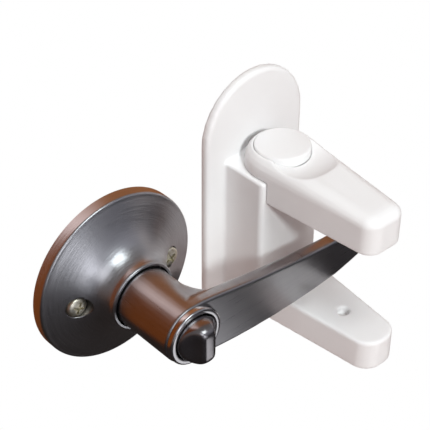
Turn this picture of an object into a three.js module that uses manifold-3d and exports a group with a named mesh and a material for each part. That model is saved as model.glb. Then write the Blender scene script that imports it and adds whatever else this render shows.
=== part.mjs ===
// A lever door handle with its privacy turn, and the safety lock that holds the lever still.
// Millimetres, Z up. X runs along the door to the right, Y runs into the door.
// The origin is on the lever's turning axis, at the face of the door.
// Distances out of the door, towards the room, are written as positive numbers.
import * as THREE from "three";
import { mergeVertices } from "three/addons/utils/BufferGeometryUtils.js";
import Module from "manifold-3d";

// Clearances
const SLIDE = 0.3; // between pieces that move on each other
const PRESS = 0.1; // between pieces that are pressed or screwed together

// Rose
const ROSE_RADIUS = 33;
const ROSE_RIM = 4.6;
const ROSE_RIM_ROUND = 1.1;
const ROSE_WALL = 1.2;
const COLLAR_RADIUS = 13.3;
const COLLAR_END = 18.8;
const COLLAR_BAND = 1.6;
const DOME_RISE = 2.8;
const NECK_RISE = 4.6;
const NECK_FLARE = 2.1;
const DOME_SPAN = 0.45;
const INSERT_THICK = 1.8;
const BOSS_RADIUS = 10.2;
const BOSS_END = 8.5;
const BUSH_WALL = 1.2;
const BUSH_FLANGE = 1.0;

// Mounting screws
const SCREW_SPREAD = 20.5;
const CUP_RADIUS = 4.5;
const POST_END = 5.4;
const SCREW_RADIUS = 2;
const SCREW_HEAD_RADIUS = 3.7;
const SCREW_HEAD_THICK = 2.1;
const SCREW_HEAD_EDGE = 0.9;
const SCREW_HEAD_CROWN = 0.2;
const CROSS_REACH = 1.7;
const CROSS_HALF = 0.4;
const CROSS_DEPTH = 1.2;
const SCREW_TAIL = 12;

// Lever
const HUB_RADIUS = 11.4;
const HUB_END = 44.2;
const NECK_RADIUS = 7;
const NECK_TAIL = 3;
const LEVER_REACH = 92;
const LEVER_THICK = 6;
const LEVER_BACK_ROUND = 2.4;
const LEVER_EDGE = 0.5;
const LEVER_TIP_TOP = 2.2;
const LEVER_BELLY = 13;
const LEVER_SAG_NEAR = 1.6;
const LEVER_SAG_FAR = 3.5;
const LEVER_WAIST_RISE = 3.4;
const LEVER_TOE_LENGTH = 22;
const LEVER_NOSE_LENGTH = 8.3;
const HUB_BLEND = 14;
const BLEND_TAPER = 2;
const BLEND_DROOP = 1.2;
const CAM_THICK = 1.8;
const CAM_TAB = 1.4;
const CAM_TAB_WIDTH = 2.4;
const RING_THICK = 0.9;
const RING_WIDTH = 2.6;
const RING_BITE = 0.8;

// Return spring
const SPRING_WIRE = 1.1;
const SPRING_PITCH = 1.65;
const SPRING_TURNS = 3;
const SPRING_LEG = 4.6;

// Thumb turn
const BEZEL_RADIUS = 11;
const BEZEL_PROUD = 2.2;
const BEZEL_WALL = 0.7;
const BEZEL_ROUND = 0.8;
const BEZEL_SLEEVE = 4;
const TURN_RADIUS = 8.5;
const TURN_PROUD = 7;
const TURN_DRAW = 3.2;
const TURN_CROWN = 4.6;
const TURN_RIDGE = 1.8;
const TURN_SCOOP = 11;
const STEM_RADIUS = 3;
const STEM_PAST_WEB = 3;
const WEB_THICK = 3.2;
const CLIP_RADIUS = 5.2;
const CLIP_GAP = 3.6;
const SPINDLE_SIDE = 8;
const SPINDLE_HEAD = 27;
const SPINDLE_TAIL = 14;
const SPINDLE_BORE = 2.3;
const BAR_WIDTH = 3;
const BAR_THICK = 1.4;
const BAR_TAIL = 16;
const SET_SCREW_OUT = 23.5;
const SET_SCREW_RADIUS = 2;
const SET_SCREW_SUNK = 1;
const SET_SCREW_SOCKET = 1.5;

// Lock body
const LOCK_X = 65.8;
const PAD_THICK = 0.8;
const PLATE_FRONT = 4.2;
const PLATE_WIDTH = 47.5;
const PLATE_TOP = 57.5;
const PLATE_BOTTOM = -37;
const PLATE_CORNER = 6;
const PLATE_EDGE = 1.5;
const COLUMN_WIDTH = 29.6;
const COLUMN_FRONT = 23.5;
const COLUMN_TOP = 25;
const COLUMN_EDGE = 1.8;
const PRONG_TOP = -22.5;
const PRONG_BOTTOM = -36;
const PRONG_RISE = 0.8;
const PRONG_TIP = 73.2;
const PRONG_ROOT_WIDTH = 28.4;
const PRONG_TIP_WIDTH = 17.2;
const PRONG_CORNER = 7.4;
const PRONG_EDGE = 1;
const PRONG_DRAW = 0.9;
const DIMPLE_OUT = 52.8;
const DIMPLE_RADIUS = 2.3;
const DIMPLE_DEPTH = 4.5;
const BODY_WALL = 2.4;
const CAVITY_TOP = 10;
const BACK_THICK = 1.6;
const BACK_WIDTH = 30;
const BACK_TOP = 18;
const BACK_BOTTOM = -33;
const BACK_CORNER = 3;
const TAPPER_RADIUS = 1.1;
const TAPPER_HEAD = 2.3;
const TAPPER_SINK = 1.1;
const TAPPER_LENGTH = 9.6;
const TAPPER_BOSS = 2.9;
const TAPPER_SPREAD = 10.2;
const TAPPER_HIGH = 14;
const TAPPER_LOW = -3;
const UPPER_PAD = { width: 32, low: 26, high: 47 };
const LOWER_PAD = { width: 26, low: -31, high: -8 };
const PAD_CORNER = 2;

// Arm
const PIVOT_OUT = 18.1;
const ARM_REAR_RADIUS = 13.5;
const ARM_TIP = 70.2;
const ARM_TIP_WIDTH = 18.4;
const ARM_CORNER = 6;
const ARM_BOTTOM = 16.3;
const ARM_SHOULDER = 27.6;
const ARM_TOP = 34.3;
const ARM_DROP = 3.6;
const ARM_CROWN = 5.4;
const ARM_WALL = 2.2;
const ARM_ROOF = 2.6;
const ARM_FLOOR = 1.7;
const ARM_RIB = 1.6;
const ARM_RIB_SHARES = [0.45, 0.7];
const ARM_EDGE = 0.5;
const POCKET_RADIUS = 16.1;
const POCKET_TOP = 32.3;
const SCOOP_OUT = 29.8;
const SCOOP_WIDTH = 26;
const SCOOP_LENGTH = 26;
const SCOOP_LIFT = 37;
const SCOOP_DEPTH = 6.6;

// Button, pivot and latch
const BUTTON_RADIUS = 10.2;
const BUTTON_TOP = 34.4;
const BUTTON_CROWN = 0.5;
const BUTTON_EDGE = 0.9;
const BUTTON_WALL = 1.4;
const BUTTON_TRAVEL = 2.4;
const POST_RADIUS = 4;
const WASHER_RADIUS = 6.6;
const WASHER_THICK = 0.8;
const PIVOT_SCREW_RADIUS = 1.9;
const PIVOT_HEAD_RADIUS = 3.4;
const PIVOT_HEAD_THICK = 1.4;
const PIVOT_SCREW_TIP = 12.5;
const PIVOT_SLOT = 0.8;
const PIVOT_SLOT_DEPTH = 0.7;
const BUTTON_WIRE = 0.6;
const BUTTON_COIL = 5.5;
const BUTTON_TURNS = 2.5;
const KEY_RING = 1.1;
const KEY_RADIUS = 8.4;
const KEY_THICK = 1.4;
const KEY_WIDTH = 5;
const KEY_REACH = 1.6;
const CATCH_INNER = 5.4;
const CATCH_OUTER = 10.6;
const CATCH_FLOOR = 1;
const CATCH_MARGIN = 0.14;
const ARM_SWING = Math.PI / 2;

// Ends of the hub's fittings, out of the door
const BEZEL_END = HUB_END + BEZEL_PROUD;
const TURN_END = BEZEL_END + TURN_PROUD;

// Facets
const FINE = 44;
const MEDIUM = 28;
const COARSE = 14;
const ARC = 8;
const CURL_STEPS = 12;
const WIRE_SIDES = 5;
const HEXAGON = 6;
const COIL_SAMPLES = 240;
const LEG_STEPS = 6;

const nickel = new THREE.MeshStandardMaterial({ color: 0x8d8a8c, roughness: 0.35, metalness: 1 });
const steel = new THREE.MeshStandardMaterial({ color: 0xa9a69c, roughness: 0.4, metalness: 1 });
const zinc = new THREE.MeshStandardMaterial({ color: 0xb8ad8a, roughness: 0.45, metalness: 1 });
const nylon = new THREE.MeshStandardMaterial({ color: 0xd8d5cc, roughness: 0.6, metalness: 0 });
const white = new THREE.MeshStandardMaterial({ color: 0xf1ecec, roughness: 0.5, metalness: 0 });
const foam = new THREE.MeshStandardMaterial({ color: 0xdadada, roughness: 0.9, metalness: 0 });

const wasm = await Module();
wasm.setup();

const part = new THREE.Group();
const handle = new THREE.Group();
const lock = new THREE.Group();
const arm = new THREE.Group();
lock.position.x = LOCK_X;
arm.position.y = -PIVOT_OUT;
lock.add(arm);
part.add(handle, lock);

// A closed geometry as a solid with its faces out.
function solidOf(geometry) {
  const bare = geometry.clone();
  bare.deleteAttribute("normal");
  bare.deleteAttribute("uv");
  const merged = mergeVertices(bare, 1e-4);
  const spots = merged.attributes.position;
  const corners = [new THREE.Vector3(), new THREE.Vector3(), new THREE.Vector3()];
  const faces = [];
  let volume = 0;
  for (let i = 0; i < merged.index.count; i += 3) {
    const face = [0, 1, 2].map((k) => merged.index.getX(i + k));
    if (new Set(face).size < 3) continue;
    face.forEach((spot, k) => corners[k].fromBufferAttribute(spots, spot));
    volume += corners[0].dot(corners[1].clone().cross(corners[2]));
    faces.push(face);
  }
  if (volume < 0) faces.forEach((face) => face.reverse());
  return new wasm.Manifold(
    new wasm.Mesh({
      numProp: 3,
      vertProperties: new Float32Array(spots.array),
      triVerts: new Uint32Array(faces.flat()),
    }),
  );
}

function addPiece(group, name, solid, material) {
  const { vertProperties, triVerts } = solid.getMesh();
  const geometry = new THREE.BufferGeometry();
  geometry.setAttribute("position", new THREE.BufferAttribute(vertProperties, 3));
  geometry.setIndex(new THREE.BufferAttribute(triVerts, 1));
  geometry.computeVertexNormals();
  const mesh = new THREE.Mesh(geometry, material);
  mesh.name = name;
  group.add(mesh);
}

// A profile of [radius, distance out of the door] pairs, turned about the lever's axis.
function turned(profile, steps) {
  const points = profile.map(([radius, out]) => new THREE.Vector2(radius, -out));
  return solidOf(new THREE.LatheGeometry(points, steps));
}

// A profile of [radius, height] pairs, turned about an upright axis.
function upright(profile, steps) {
  const points = profile.map(([radius, height]) => new THREE.Vector2(radius, height));
  return solidOf(new THREE.LatheGeometry(points, steps).rotateX(Math.PI / 2));
}

// A round bar square to the door, between two distances out of it.
function barOut(radius, low, high, steps, x = 0, z = 0) {
  const bar = new THREE.CylinderGeometry(radius, radius, high - low, steps);
  return solidOf(bar.translate(x, -(low + high) / 2, z));
}

// A round bar that stands upright.
function barUp(radius, low, high, steps, x = 0, y = 0) {
  const bar = new THREE.CylinderGeometry(radius, radius, high - low, steps);
  return solidOf(bar.rotateX(Math.PI / 2).translate(x, y, (low + high) / 2));
}

// A block between two values on X, out of the door, and on Z.
function block([left, right], [near, far], [low, high]) {
  const box = new THREE.BoxGeometry(right - left, far - near, high - low);
  return solidOf(box.translate((left + right) / 2, -(near + far) / 2, (low + high) / 2));
}

// A square bar along the lever's axis.
const squareBar = (half, low, high) => block([-half, half], [low, high], [-half, half]);

// The outline round a ring of circles [u, v, radius] in anticlockwise order, drawn in by an inset.
function hull(circles, inset = 0, steps = ARC) {
  const normals = circles.map(([u, v, radius], i) => {
    const [nextU, nextV, nextRadius] = circles[(i + 1) % circles.length];
    const lean = Math.acos((radius - nextRadius) / Math.hypot(nextU - u, nextV - v));
    return Math.atan2(nextV - v, nextU - u) - lean;
  });
  return circles.flatMap(([u, v, radius], i) => {
    const from = normals[(i + circles.length - 1) % circles.length];
    const turn = THREE.MathUtils.euclideanModulo(normals[i] - from, 2 * Math.PI);
    return Array.from({ length: steps + 1 }, (_, k) => {
      const angle = from + (turn * k) / steps;
      const reach = radius - inset;
      return new THREE.Vector2(u + reach * Math.cos(angle), v + reach * Math.sin(angle));
    });
  });
}

// A line of points moved sideways to its left, with its corners kept square.
function shifted(points, distance, closed = false) {
  const last = points.length - 1;
  return points.map((point, i) => {
    const before = points[i > 0 ? i - 1 : closed ? last : 0];
    const after = points[i < last ? i + 1 : closed ? 0 : last];
    const ahead = after.clone().sub(point).normalize();
    const behind = point.clone().sub(before).normalize();
    const along = ahead.clone().add(behind).normalize();
    const reach = distance / Math.max(0.5, along.dot(ahead.lengthSq() ? ahead : behind));
    return new THREE.Vector2(point.x - along.y * reach, point.y + along.x * reach);
  });
}

// A solid through a pile of rings with the same number of points each.
function loft(rings) {
  const count = rings[0].length;
  const faces = [];
  for (let level = 0; level + 1 < rings.length; level++) {
    for (let i = 0; i < count; i++) {
      const a = level * count + i;
      const b = level * count + ((i + 1) % count);
      faces.push([a, b, b + count], [a, b + count, a + count]);
    }
  }
  const lid = capOf(rings[rings.length - 1]);
  const top = (rings.length - 1) * count;
  capOf(rings[0]).forEach(([a, b, c]) => faces.push([c, b, a]));
  lid.forEach(([a, b, c]) => faces.push([top + a, top + b, top + c]));
  const geometry = new THREE.BufferGeometry().setFromPoints(rings.flat());
  geometry.setIndex(faces.flat());
  return solidOf(geometry);
}

// The triangles that close a flat ring, wound the way the ring runs.
function capOf(ring) {
  const size = new THREE.Box3().setFromPoints(ring).getSize(new THREE.Vector3());
  const thin = Math.min(size.x, size.y, size.z);
  const [u, v] = thin === size.x ? ["y", "z"] : thin === size.y ? ["z", "x"] : ["x", "y"];
  const contour = ring.map((point) => new THREE.Vector2(point[u], point[v]));
  const faces = THREE.ShapeUtils.triangulateShape(contour, []);
  return THREE.ShapeUtils.isClockWise(contour) ? faces.map((face) => face.reverse()) : faces;
}

// Outlines placed parallel to the door, or level.
const facing = (outline, out) => outline.map((point) => new THREE.Vector3(point.x, -out, point.y));
const level = (outline, height) =>
  outline.map((point) => new THREE.Vector3(point.x, -point.y, height(point)));

// Steps of a quarter round: how far along it rises and how far it draws in, both from 0 to 1.
function quarter(steps) {
  return Array.from({ length: steps + 1 }, (_, k) => {
    const angle = (k / steps) * (Math.PI / 2);
    return { rise: Math.sin(angle), inset: 1 - Math.cos(angle) };
  });
}

// A round wire along a curve.
function wireOf(points, diameter, steps) {
  const curve = new THREE.CatmullRomCurve3(points, false, "centripetal");
  const section = Array.from({ length: WIRE_SIDES }, (_, k) => {
    const angle = (2 * Math.PI * k) / WIRE_SIDES;
    return new THREE.Vector2(Math.cos(angle), Math.sin(angle)).multiplyScalar(diameter / 2);
  });
  const settings = { steps, extrudePath: curve };
  return { curve, solid: solidOf(new THREE.ExtrudeGeometry(new THREE.Shape(section), settings)) };
}

// The least gap of a coil to itself, over points more than half a curl apart along the wire.
function printLeastGap(name, curve, diameter, curl) {
  const points = curve.getSpacedPoints(COIL_SAMPLES);
  const apart = Math.ceil((0.5 * curl * COIL_SAMPLES) / curve.getLength());
  let least = Infinity;
  for (let i = 0; i < points.length; i++) {
    for (let k = i + apart; k < points.length; k++) {
      least = Math.min(least, points[i].distanceTo(points[k]));
    }
  }
  console.log(name, "least gap to itself", (least - diameter).toFixed(2), "mm");
}

// Rose cover: a spun dome that sweeps up into a collar, with a cup round each screw.
const roseRim = new THREE.Path();
roseRim.moveTo(ROSE_RADIUS, 0);
roseRim.lineTo(ROSE_RADIUS, ROSE_RIM - ROSE_RIM_ROUND);
roseRim.quadraticCurveTo(ROSE_RADIUS, ROSE_RIM, ROSE_RADIUS - ROSE_RIM_ROUND, ROSE_RIM);
const roseDome = new THREE.Path();
roseDome.moveTo(ROSE_RADIUS - ROSE_RIM_ROUND, ROSE_RIM);
roseDome.bezierCurveTo(
  THREE.MathUtils.lerp(ROSE_RADIUS, COLLAR_RADIUS, DOME_SPAN),
  ROSE_RIM + DOME_RISE,
  COLLAR_RADIUS + NECK_FLARE,
  ROSE_RIM + NECK_RISE,
  COLLAR_RADIUS,
  COLLAR_END - COLLAR_BAND,
);
roseDome.lineTo(COLLAR_RADIUS, COLLAR_END);
const domePoints = roseDome.getPoints(ARC).slice(1);
const pairs = (points) => points.map((point) => [point.x, point.y]);
const roseOuter = pairs([...roseRim.getPoints(4), ...domePoints]);
const roseSkin = (depth) => [
  [ROSE_RADIUS - depth, 0],
  [ROSE_RADIUS - depth, ROSE_RIM - depth],
  ...pairs(shifted(domePoints, depth)),
];
const roseRing = [...roseOuter, ...roseSkin(ROSE_WALL).reverse()];
const domeMiddle = turned([[0, 0], ...roseSkin(ROSE_WALL / 2), [0, COLLAR_END]], FINE);
const sides = [-1, 1];
const cupLow = POST_END + SLIDE;
let roseCover = turned([...roseRing, roseRing[0]], FINE);
for (const side of sides) {
  const x = side * SCREW_SPREAD;
  const cup = barOut(CUP_RADIUS + ROSE_WALL, cupLow, COLLAR_END, MEDIUM, x).intersect(domeMiddle);
  roseCover = roseCover.add(cup).subtract(barOut(CUP_RADIUS, 0, COLLAR_END, MEDIUM, x));
}
addPiece(handle, "rose_cover", roseCover, nickel);

// Rose insert: the mounting plate, with a bearing boss, a post for each screw and a spring lug.
const bushBore = NECK_RADIUS + SLIDE;
const bushRadius = bushBore + BUSH_WALL;
const insertBore = bushRadius + PRESS;
const insertRadius = ROSE_RADIUS - ROSE_WALL - SLIDE;
const springRadius = (BOSS_RADIUS + SLIDE + SPRING_WIRE / 2) / Math.cos(Math.PI / CURL_STEPS) + PRESS;
const tabInner = springRadius + SPRING_WIRE / 2 + SLIDE;
const lugInner = tabInner + CAM_TAB + SLIDE;
const legReach = springRadius + SPRING_LEG;
let roseInsert = turned(
  [
    [insertBore, 0],
    [insertRadius, 0],
    [insertRadius, INSERT_THICK],
    [BOSS_RADIUS, INSERT_THICK],
    [BOSS_RADIUS, BOSS_END],
    [insertBore, BOSS_END],
    [insertBore, 0],
  ],
  MEDIUM,
);
for (const side of sides) {
  const x = side * SCREW_SPREAD;
  const post = barOut(SCREW_HEAD_RADIUS + PRESS, INSERT_THICK / 2, POST_END, MEDIUM, x);
  roseInsert = roseInsert.add(post).subtract(barOut(SCREW_RADIUS + SLIDE, -1, POST_END + 1, COARSE, x));
}
const halfTab = CAM_TAB_WIDTH / 2;
const lug = block([-halfTab, halfTab], [INSERT_THICK / 2, BOSS_END], [-legReach, -lugInner]);
addPiece(handle, "rose_insert", roseInsert.add(lug), steel);

// Mounting screws: pan heads with a cross recess, running back into the door.
for (const [index, side] of sides.entries()) {
  const x = side * SCREW_SPREAD;
  const seat = POST_END + PRESS;
  const headEnd = seat + SCREW_HEAD_THICK;
  const head = turned(
    [
      [0, seat],
      [SCREW_HEAD_RADIUS, seat],
      [SCREW_HEAD_RADIUS, headEnd - SCREW_HEAD_EDGE],
      [SCREW_HEAD_RADIUS - SCREW_HEAD_EDGE, headEnd - SCREW_HEAD_CROWN],
      [0, headEnd],
    ],
    COARSE,
  ).translate(x, 0, 0);
  const arms = [
    [CROSS_REACH, CROSS_HALF],
    [CROSS_HALF, CROSS_REACH],
  ];
  let screw = head.add(barOut(SCREW_RADIUS, -SCREW_TAIL, seat + PRESS, COARSE, x));
  for (const [wide, high] of arms) {
    screw = screw.subtract(block([x - wide, x + wide], [headEnd - CROSS_DEPTH, headEnd + 1], [-high, high]));
  }
  addPiece(handle, ["mounting_screw_left", "mounting_screw_right"][index], screw, zinc);
}

// Neck bush: a flanged sleeve that the lever's neck turns in.
const flangeEnd = BOSS_END + PRESS + BUSH_FLANGE;
addPiece(
  handle,
  "neck_bush",
  turned(
    [
      [bushBore, 0],
      [bushRadius, 0],
      [bushRadius, BOSS_END + PRESS],
      [BOSS_RADIUS, BOSS_END + PRESS],
      [BOSS_RADIUS, flangeEnd],
      [bushBore, flangeEnd],
      [bushBore, 0],
    ],
    MEDIUM,
  ),
  nylon,
);

// Drive cam: the ring on the neck whose tab pushes one leg of the spring or the other.
const camLow = flangeEnd + SLIDE;
const camEnd = camLow + CAM_THICK;
const camBore = NECK_RADIUS + PRESS;
const tabOuter = tabInner + CAM_TAB;
const camRing = barOut(tabOuter, camLow, camEnd, MEDIUM);
const camTab = block([-halfTab, halfTab], [INSERT_THICK + SLIDE, camEnd], [-tabOuter, -tabInner]);
addPiece(handle, "drive_cam", camRing.add(camTab).subtract(barOut(camBore, 0, camEnd + 1, MEDIUM)), steel);

// Return spring: a torsion coil round the boss, with both legs astride the tab and the lug.
const legX = halfTab + SLIDE + SPRING_WIRE / 2;
const legAngle = Math.asin(legX / springRadius);
const coilLow = INSERT_THICK + SLIDE + SPRING_WIRE / 2;
const coilSweep = 2 * Math.PI * SPRING_TURNS - 2 * legAngle;
const coilSteps = CURL_STEPS * SPRING_TURNS;
const legRoot = Math.cos(legAngle) * springRadius;
const springPoints = [
  new THREE.Vector3(-legX, -coilLow, -legReach),
  new THREE.Vector3(-legX, -coilLow, -legRoot - SPRING_WIRE),
];
for (let k = 0; k <= coilSteps; k++) {
  const angle = -Math.PI / 2 - legAngle - (coilSweep * k) / coilSteps;
  const out = coilLow + (SPRING_PITCH * SPRING_TURNS * k) / coilSteps;
  springPoints.push(new THREE.Vector3(springRadius * Math.cos(angle), -out, springRadius * Math.sin(angle)));
}
const coilHigh = coilLow + SPRING_PITCH * SPRING_TURNS;
springPoints.push(new THREE.Vector3(legX, -coilHigh, -legRoot - SPRING_WIRE));
springPoints.push(new THREE.Vector3(legX, -coilHigh, -legReach));
const returnSpring = wireOf(springPoints, SPRING_WIRE, coilSteps + LEG_STEPS);
printLeastGap("lever_return_spring", returnSpring.curve, SPRING_WIRE, 2 * Math.PI * springRadius);
addPiece(handle, "lever_return_spring", returnSpring.solid, steel);

// Lever handle: hub, neck and bar in one casting. The bar droops a little and its tip is round.
const leverBack = HUB_END - LEVER_THICK;
const hubShoulder = camEnd + PRESS;
const leverOutline = new THREE.Path();
leverOutline.moveTo(0, -HUB_RADIUS);
leverOutline.bezierCurveTo(
  LEVER_REACH / 6,
  -LEVER_BELLY - LEVER_SAG_NEAR,
  (LEVER_REACH * 3) / 7,
  -LEVER_BELLY - LEVER_SAG_FAR,
  LEVER_REACH - LEVER_TOE_LENGTH,
  -LEVER_BELLY,
);
leverOutline.bezierCurveTo(
  LEVER_REACH - LEVER_TOE_LENGTH / 2,
  (-LEVER_BELLY * 4) / 5,
  LEVER_REACH,
  (-LEVER_BELLY * 3) / 5,
  LEVER_REACH,
  -LEVER_BELLY / 4,
);
leverOutline.bezierCurveTo(
  LEVER_REACH,
  0,
  LEVER_REACH - LEVER_NOSE_LENGTH / 3,
  (LEVER_TIP_TOP * 3) / 4,
  LEVER_REACH - LEVER_NOSE_LENGTH,
  LEVER_TIP_TOP,
);
leverOutline.bezierCurveTo(
  LEVER_REACH / 4,
  LEVER_TIP_TOP + LEVER_WAIST_RISE,
  LEVER_REACH / 7,
  HUB_RADIUS + LEVER_EDGE,
  0,
  HUB_RADIUS,
);
const leverEdge = leverOutline.getPoints(ARC);
const leverRing = (inset, out) => facing(shifted(leverEdge, inset, true), out);
const leverBar = loft([
  ...quarter(3)
    .reverse()
    .map(({ rise, inset }) => leverRing(inset * LEVER_BACK_ROUND, leverBack + (1 - rise) * LEVER_BACK_ROUND)),
  leverRing(0, HUB_END - LEVER_EDGE),
  leverRing(LEVER_EDGE, HUB_END),
]);
// The back of the bar sweeps into the hub along a quarter round.
const blendRing = (rise, inset) => {
  const reach = HUB_RADIUS + inset * HUB_BLEND;
  const half = THREE.MathUtils.lerp(HUB_RADIUS - SLIDE, HUB_RADIUS - BLEND_TAPER, inset);
  const out = leverBack + LEVER_BACK_ROUND - HUB_BLEND * (1 - rise);
  const circles = [
    [0, 0, HUB_RADIUS - PRESS],
    [reach - half, -BLEND_DROOP * inset, half],
  ];
  return facing(hull(circles, 0, 2 * ARC), out);
};
const hubBlend = loft(quarter(6).map(({ rise, inset }) => blendRing(rise, inset)));
const grooveFar = -RING_THICK - SLIDE - 2 * PRESS;
const hubSolid = turned(
  [
    [0, -NECK_TAIL],
    [NECK_RADIUS, -NECK_TAIL],
    [NECK_RADIUS, grooveFar],
    [NECK_RADIUS - RING_BITE, grooveFar],
    [NECK_RADIUS - RING_BITE, -SLIDE],
    [NECK_RADIUS, -SLIDE],
    [NECK_RADIUS, hubShoulder],
    [HUB_RADIUS, hubShoulder],
    [HUB_RADIUS, HUB_END - LEVER_EDGE],
    [HUB_RADIUS - LEVER_EDGE, HUB_END],
    [0, HUB_END],
  ],
  FINE,
);
const sleeveRadius = TURN_RADIUS + SLIDE + BEZEL_WALL;
const sleeveLow = HUB_END + PRESS - BEZEL_SLEEVE;
const webFar = sleeveLow - SLIDE;
const webNear = webFar - WEB_THICK;
const socketHalf = SPINDLE_SIDE / 2 + PRESS;
const socketRound = Math.SQRT2 * socketHalf;
const setScrewRadius = SET_SCREW_RADIUS + PRESS;
const leverHandle = hubSolid
  .add(leverBar)
  .add(hubBlend)
  .subtract(barOut(sleeveRadius + PRESS, webFar, HUB_END + 1, MEDIUM))
  .subtract(barOut(STEM_RADIUS + SLIDE, webNear - 1, webFar + 1, COARSE))
  .subtract(barOut(Math.max(socketRound, CLIP_RADIUS + SLIDE), SPINDLE_HEAD, webNear, MEDIUM))
  .subtract(squareBar(socketHalf, -NECK_TAIL - 1, SPINDLE_HEAD + PRESS))
  .subtract(barUp(setScrewRadius, -HUB_RADIUS - 1, -socketHalf + PRESS, COARSE, 0, -SET_SCREW_OUT));
addPiece(handle, "lever_handle", leverHandle, nickel);

// Set screw: a grub screw from below, with a socket in its outer end.
const grubTop = -SPINDLE_SIDE / 2 - PRESS;
const grubLow = -HUB_RADIUS + SET_SCREW_SUNK;
const grub = barUp(SET_SCREW_RADIUS, grubLow, grubTop, COARSE, 0, -SET_SCREW_OUT);
const grubEnd = grubLow + SET_SCREW_SOCKET;
const grubSocket = barUp(SET_SCREW_RADIUS / 2, grubLow - 1, grubEnd, HEXAGON, 0, -SET_SCREW_OUT);
addPiece(handle, "lever_set_screw", grub.subtract(grubSocket), steel);

// Retaining ring: a split ring in the neck's groove, behind the insert.
const ringLow = -RING_THICK - SLIDE - PRESS;
const ringBore = NECK_RADIUS - RING_BITE + PRESS;
const ringBody = barOut(ringBore + RING_WIDTH, ringLow, ringLow + RING_THICK, MEDIUM);
const ringSplit = block([-ringBore / 2, ringBore / 2], [ringLow - 1, 1], [-2 * ringBore, 0]);
const ringHole = barOut(ringBore, ringLow - 1, 1, MEDIUM);
addPiece(handle, "retaining_ring", ringBody.subtract(ringHole).subtract(ringSplit), steel);

// Drive spindle: a square tube from the hub back into the door, bored for the locking bar.
const spindleBar = squareBar(SPINDLE_SIDE / 2, -SPINDLE_TAIL, SPINDLE_HEAD);
const spindleHole = barOut(SPINDLE_BORE, -SPINDLE_TAIL - 1, SPINDLE_HEAD + 1, COARSE);
addPiece(handle, "drive_spindle", spindleBar.subtract(spindleHole), steel);

// Bezel: the bright ring round the thumb turn, with a sleeve pressed into the hub.
const bezelLow = HUB_END + PRESS;
const turnWell = TURN_RADIUS + SLIDE;
addPiece(
  handle,
  "hub_bezel",
  turned(
    [
      [turnWell, sleeveLow],
      [sleeveRadius, sleeveLow],
      [sleeveRadius, bezelLow],
      [BEZEL_RADIUS, bezelLow],
      [BEZEL_RADIUS, BEZEL_END - BEZEL_ROUND],
      [BEZEL_RADIUS - BEZEL_ROUND, BEZEL_END],
      [turnWell, BEZEL_END],
      [turnWell, sleeveLow],
    ],
    FINE,
  ),
  nickel,
);

// Thumb turn: a round knob hollowed on both sides into an upright ridge, on a slotted stem.
const stemLow = webNear - STEM_PAST_WEB;
const slotHalf = BAR_THICK / 2 + PRESS;
const turnLow = sleeveLow;
const clipLow = webNear - SLIDE - RING_THICK;
const clipGroove = STEM_RADIUS - RING_BITE;
const turnProfile = [
  [0, stemLow],
  [STEM_RADIUS, stemLow],
  [STEM_RADIUS, clipLow - PRESS],
  [clipGroove, clipLow - PRESS],
  [clipGroove, clipLow + RING_THICK + PRESS],
  [STEM_RADIUS, clipLow + RING_THICK + PRESS],
  [STEM_RADIUS, turnLow],
  [TURN_RADIUS, turnLow],
  ...quarter(6).map(({ rise, inset }) => [
    TURN_RADIUS - inset * TURN_DRAW,
    TURN_END - TURN_CROWN + rise * TURN_CROWN,
  ]),
  [0, TURN_END],
];
let thumbTurn = turned(turnProfile, MEDIUM);
for (const side of sides) {
  const scoopX = side * (TURN_RIDGE + TURN_SCOOP);
  thumbTurn = thumbTurn.subtract(
    barUp(TURN_SCOOP, -2 * TURN_RADIUS, 2 * TURN_RADIUS, FINE, scoopX, -BEZEL_END - TURN_SCOOP),
  );
}
const barHead = turnLow - 1;
const barHalf = BAR_WIDTH / 2;
thumbTurn = thumbTurn.subtract(
  block([-slotHalf, slotHalf], [stemLow - 1, barHead + PRESS], [-barHalf - PRESS, barHalf + PRESS]),
);
addPiece(handle, "thumb_turn", thumbTurn, nickel);

// Turn clip: a split ring that keeps the stem in the hub's web.
const clipBore = clipGroove + PRESS;
const clipRing = barOut(CLIP_RADIUS, clipLow, clipLow + RING_THICK, MEDIUM);
const clipEnd = clipLow + RING_THICK;
const clipHole = barOut(clipBore, clipLow - 1, clipEnd + 1, COARSE);
const clipSplit = block([0, 2 * CLIP_RADIUS], [clipLow - 1, clipEnd + 1], [-CLIP_GAP / 2, CLIP_GAP / 2]);
addPiece(handle, "turn_clip", clipRing.subtract(clipHole).subtract(clipSplit), steel);

// Locking bar: a flat bar from the thumb turn through the spindle to the latch.
addPiece(
  handle,
  "locking_bar",
  block([-BAR_THICK / 2, BAR_THICK / 2], [-BAR_TAIL, barHead], [-barHalf, barHalf]),
  steel,
);

// Lock body: plate, column and prong in one moulding, hollow from the back.
const halfPlate = PLATE_WIDTH / 2;
const plateCircles = [
  [0, PLATE_TOP - halfPlate, halfPlate],
  [PLATE_CORNER - halfPlate, PLATE_BOTTOM + PLATE_CORNER, PLATE_CORNER],
  [halfPlate - PLATE_CORNER, PLATE_BOTTOM + PLATE_CORNER, PLATE_CORNER],
];
const plateRing = (inset, out) => facing(hull(plateCircles, inset, 2 * ARC), out);
const plate = loft([
  plateRing(0, PAD_THICK),
  ...quarter(4).map(({ rise, inset }) =>
    plateRing(inset * PLATE_EDGE, PLATE_FRONT - PLATE_EDGE + rise * PLATE_EDGE),
  ),
]);
const roundedBox = (halfWidth, near, far, corner) => [
  [corner - halfWidth, near + corner, corner],
  [halfWidth - corner, near + corner, corner],
  [halfWidth - corner, far - corner, corner],
  [corner - halfWidth, far - corner, corner],
];
const halfColumn = COLUMN_WIDTH / 2;
const columnCircles = roundedBox(halfColumn, PAD_THICK + PLATE_EDGE, COLUMN_FRONT, COLUMN_EDGE);
const columnRing = (inset, height) => level(hull(columnCircles, inset, 4), () => height);
const columnRound = COLUMN_EDGE / 2;
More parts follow.
